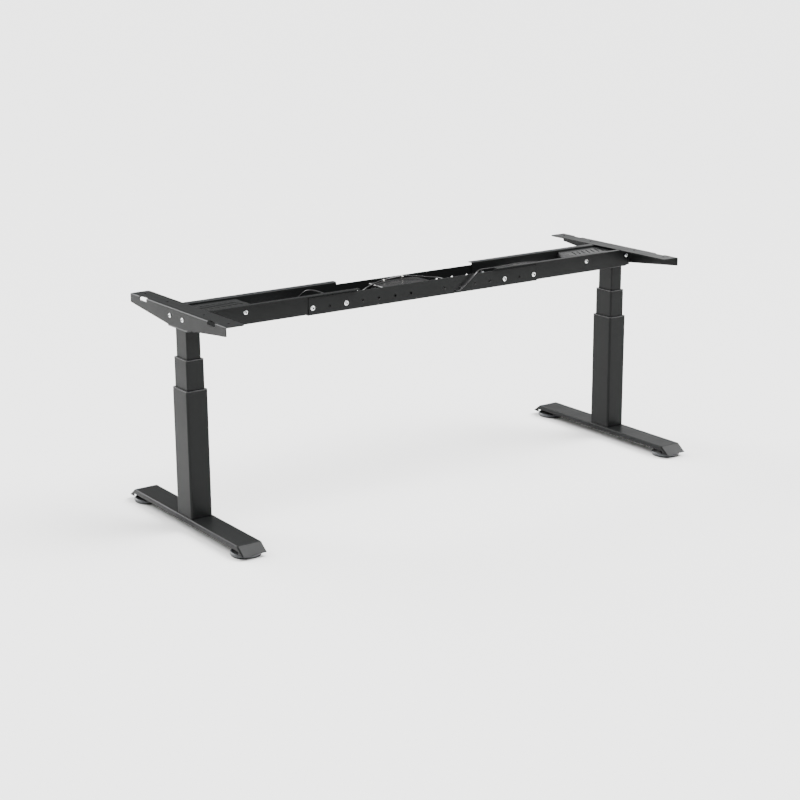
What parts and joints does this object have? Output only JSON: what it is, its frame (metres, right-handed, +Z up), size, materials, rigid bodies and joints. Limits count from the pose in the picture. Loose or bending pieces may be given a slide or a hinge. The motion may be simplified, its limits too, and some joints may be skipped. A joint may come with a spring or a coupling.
{
  "type": "height adjustable desk frame",
  "caption": "Height adjustable desk frame: two three-stage lifting columns on flat steel feet, joined by a telescopic crossbar with side brackets for a desktop.",
  "frame": {"origin": "on the floor, midway between the two columns, under the middle of the feet", "axes": "+Z up, +X along the crossbar to the right as the user sits, -Y towards the user"},
  "size_m": [1.716, 0.7, 0.6635],
  "materials": {
    "powder_coat": "satin black powder coat on sheet steel",
    "zinc_steel": "bright zinc plated",
    "bright_steel": "turned or drawn steel, oiled",
    "brass": "turned",
    "nylon": "moulded",
    "pad_rubber": "moulded disc with a rubber sole",
    "lead_sheath": "extruded, glossy",
    "tie_nylon": "moulded",
    "box_plastic": "moulded, fine texture",
    "cast_aluminium": "die cast, black painted",
    "motor_paint": "black enamel"
  },
  "bodies": {
    "base": {"left_foot": "powder_coat", "right_foot": "powder_coat", "foot_weld_nuts": "zinc_steel", "foot_bolts": "zinc_steel", "left_outer_tube": "powder_coat", "right_outer_tube": "powder_coat", "outer_tube_glides": "nylon", "left_fixed_lift_tube": "bright_steel", "right_fixed_lift_tube": "bright_steel", "fixed_nuts": "brass"},
    "left_front_levelling_pad": {"left_front_pad": "pad_rubber"},
    "left_rear_levelling_pad": {"left_rear_pad": "pad_rubber"},
    "left_middle_stage": {"left_middle_tube": "powder_coat", "left_middle_glides": "nylon", "left_middle_lift_tube": "bright_steel", "left_middle_nut": "brass", "left_screw_bearing": "bright_steel"},
    "left_lower_spindle": {"left_lower_screw": "bright_steel"},
    "left_upper_spindle": {"left_upper_screw": "bright_steel", "left_worm_wheel": "nylon"},
    "right_front_levelling_pad": {"right_front_pad": "pad_rubber"},
    "right_rear_levelling_pad": {"right_rear_pad": "pad_rubber"},
    "right_middle_stage": {"right_middle_tube": "powder_coat", "right_middle_glides": "nylon", "right_middle_lift_tube": "bright_steel", "right_middle_nut": "brass", "right_screw_bearing": "bright_steel"},
    "right_lower_spindle": {"right_lower_screw": "bright_steel"},
    "right_upper_spindle": {"right_upper_screw": "bright_steel", "right_worm_wheel": "nylon"},
    "top_frame": {"control_box_base": "box_plastic", "control_box_lid": "box_plastic", "crossbar_bolts": "zinc_steel", "crossbar_nuts": "zinc_steel", "end_rail_screws": "zinc_steel", "front_centre_rail": "powder_coat", "gearbox_lids": "cast_aluminium", "inner_tube_shoes": "nylon", "lead_plugs": "box_plastic", "lead_ties": "tie_nylon", "left_front_end_rail": "powder_coat", "left_gearbox": "cast_aluminium", "left_inner_tube": "powder_coat", "left_motor": "motor_paint", "left_motor_cover": "powder_coat", "left_motor_lead": "lead_sheath", "left_rear_end_rail": "powder_coat", "left_side_bracket": "powder_coat", "motor_worm_shafts": "bright_steel", "power_inlet": "box_plastic", "rear_centre_rail": "powder_coat", "right_front_end_rail": "powder_coat", "right_gearbox": "cast_aluminium", "right_inner_tube": "powder_coat", "right_motor": "motor_paint", "right_motor_cover": "powder_coat", "right_motor_lead": "lead_sheath", "right_rear_end_rail": "powder_coat", "right_side_bracket": "powder_coat", "side_bracket_screws": "zinc_steel"}
  },
  "joints": [
    {"name": "left_front_pad_screw", "type": "slide", "parent": "base", "child": "left_front_levelling_pad", "axis": [0, 0, -1], "range_m": [0, 0.008]},
    {"name": "left_rear_pad_screw", "type": "slide", "parent": "base", "child": "left_rear_levelling_pad", "axis": [0, 0, -1], "range_m": [0, 0.008]},
    {"name": "right_front_pad_screw", "type": "slide", "parent": "base", "child": "right_front_levelling_pad", "axis": [0, 0, -1], "range_m": [0, 0.008]},
    {"name": "right_rear_pad_screw", "type": "slide", "parent": "base", "child": "right_rear_levelling_pad", "axis": [0, 0, -1], "range_m": [0, 0.008]},
    {"name": "left_lift", "type": "slide", "parent": "base", "child": "left_middle_stage", "axis": [0, 0, 1], "range_m": [0, 0.28]},
    {"name": "right_lift", "type": "slide", "parent": "base", "child": "right_middle_stage", "axis": [0, 0, 1], "range_m": [0, 0.28]},
    {"name": "top_lift", "type": "slide", "parent": "left_middle_stage", "child": "top_frame", "axis": [0, 0, 1], "range_m": [0, 0.28]},
    {"name": "left_lower_spindle_turn", "type": "hinge", "parent": "left_middle_stage", "child": "left_lower_spindle", "pos_m": [-0.812, 0, 0.3], "axis": [0, 0, 1], "range_deg": [-10, 10090]},
    {"name": "left_upper_spindle_turn", "type": "hinge", "parent": "top_frame", "child": "left_upper_spindle", "pos_m": [-0.812, 0, 0.6], "axis": [0, 0, 1], "range_deg": [-10, 10090]},
    {"name": "right_lower_spindle_turn", "type": "hinge", "parent": "right_middle_stage", "child": "right_lower_spindle", "pos_m": [0.812, 0, 0.3], "axis": [0, 0, 1], "range_deg": [-10, 10090]},
    {"name": "right_upper_spindle_turn", "type": "hinge", "parent": "top_frame", "child": "right_upper_spindle", "pos_m": [0.812, 0, 0.6], "axis": [0, 0, 1], "range_deg": [-10, 10090]}
  ],
  "couplings": [
    {"joint": "right_lift", "follows": "left_lift", "ratio": 1},
    {"joint": "top_lift", "follows": "left_lift", "ratio": 1},
    {"joint": "left_lower_spindle_turn", "follows": "left_lift", "rad_per_m": 628.32},
    {"joint": "left_upper_spindle_turn", "follows": "left_lift", "rad_per_m": 628.32},
    {"joint": "right_lower_spindle_turn", "follows": "left_lift", "rad_per_m": 628.32},
    {"joint": "right_upper_spindle_turn", "follows": "left_lift", "rad_per_m": 628.32}
  ]
}
